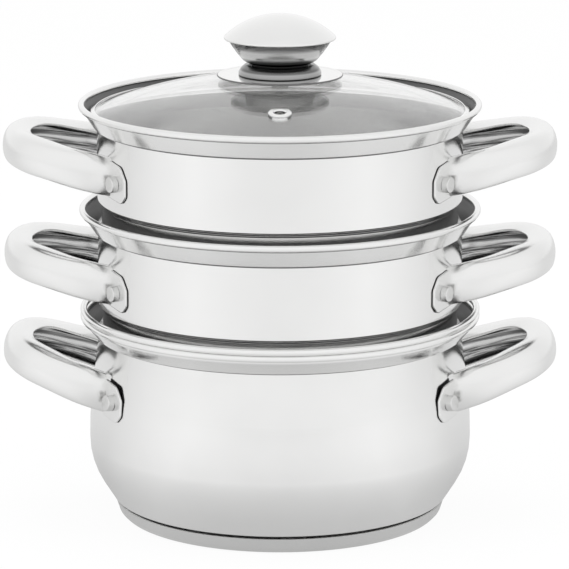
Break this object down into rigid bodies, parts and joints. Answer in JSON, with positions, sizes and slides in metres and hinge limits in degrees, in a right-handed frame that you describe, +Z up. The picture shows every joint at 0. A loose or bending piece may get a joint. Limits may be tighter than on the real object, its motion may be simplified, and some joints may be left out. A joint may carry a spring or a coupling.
{
  "type": "steamer pot",
  "caption": "Polished steel belly pot with stacking perforated steamer baskets, riveted loop handles and a domed glass lid with a round knob and steam vent.",
  "frame": {"origin": "under the middle of the pot's base, on the surface that it stands on", "axes": "+Z up, +X through the right-hand handles, the lid's steam vent faces -Y"},
  "size_m": [0.3092, 0.223, 0.282],
  "materials": {
    "polished_steel": "mirror-polished stainless steel sheet",
    "base_aluminium": "plain aluminium disc, enclosed",
    "base_steel": "satin stainless steel",
    "handle_steel": "mirror-polished stainless steel, pressed",
    "rivet_steel": "polished stainless steel",
    "band_steel": "polished stainless steel",
    "knob_steel": "mirror-polished stainless steel, pressed",
    "lid_glass": "clear tempered glass",
    "seal_rubber": "translucent silicone",
    "knob_plastic": "black heat-proof plastic"
  },
  "bodies": {
    "pot": {"pot_body": "polished_steel", "base_core": "base_aluminium", "base_cap": "base_steel", "pot_handle_left": "handle_steel", "pot_handle_right": "handle_steel", "pot_handle_rivets": "rivet_steel"},
    "middle_steamer": {"middle_steamer_body": "polished_steel", "middle_handle_left": "handle_steel", "middle_handle_right": "handle_steel", "middle_handle_rivets": "rivet_steel"},
    "top_steamer": {"top_steamer_body": "polished_steel", "top_handle_left": "handle_steel", "top_handle_right": "handle_steel", "top_handle_rivets": "rivet_steel"},
    "lid": {"lid_glass": "lid_glass", "lid_rim_band": "band_steel", "vent_eyelet": "band_steel", "knob_soft_washer": "seal_rubber", "knob_rosette": "knob_steel", "knob_foot": "knob_steel", "knob_core": "knob_plastic", "knob_bowl": "knob_steel", "knob_cap": "knob_steel", "under_soft_washer": "seal_rubber", "under_steel_washer": "rivet_steel", "knob_screw": "rivet_steel"}
  },
  "joints": [
    {"name": "lift_middle_steamer", "type": "slide", "parent": "pot", "child": "middle_steamer", "axis": [0, 0, 1], "range_m": [0, 0.12]},
    {"name": "lift_top_steamer", "type": "slide", "parent": "middle_steamer", "child": "top_steamer", "axis": [0, 0, 1], "range_m": [0, 0.12]},
    {"name": "lift_lid", "type": "slide", "parent": "top_steamer", "child": "lid", "axis": [0, 0, 1], "range_m": [0, 0.12]}
  ]
}
